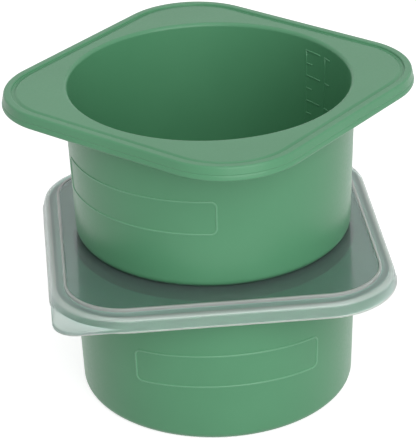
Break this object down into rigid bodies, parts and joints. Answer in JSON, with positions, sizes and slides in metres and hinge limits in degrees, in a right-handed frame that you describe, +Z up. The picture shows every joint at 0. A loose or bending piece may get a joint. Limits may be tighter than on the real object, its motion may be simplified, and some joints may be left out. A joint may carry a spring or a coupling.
{
  "type": "dough proofing container",
  "caption": "Stacked round dough proofing tubs with rounded square flanges and a frosted lid between them; the upper tub stands open on the lid.",
  "frame": {"origin": "centre of the lower tub's flat underside, on the surface that it stands on", "axes": "+Z up along the lower tub's axis, -Y towards the front with the lower tub's label panel, X and Y along the sides of the lower tub's square flange and of the lid"},
  "size_m": [0.1618, 0.1618, 0.1291],
  "materials": {
    "tub": "satin",
    "lid": "satin"
  },
  "bodies": {
    "lower_tub": {"lower_tub": "tub"},
    "lid": {"lid": "lid"},
    "upper_tub": {"upper_tub": "tub"}
  },
  "joints": [
    {"name": "lid_lift", "type": "slide", "parent": "lower_tub", "child": "lid", "axis": [0, 0, 1], "range_m": [0, 0.08]},
    {"name": "upper_tub_lift", "type": "slide", "parent": "lid", "child": "upper_tub", "axis": [0, 0, 1], "range_m": [0, 0.08]}
  ]
}
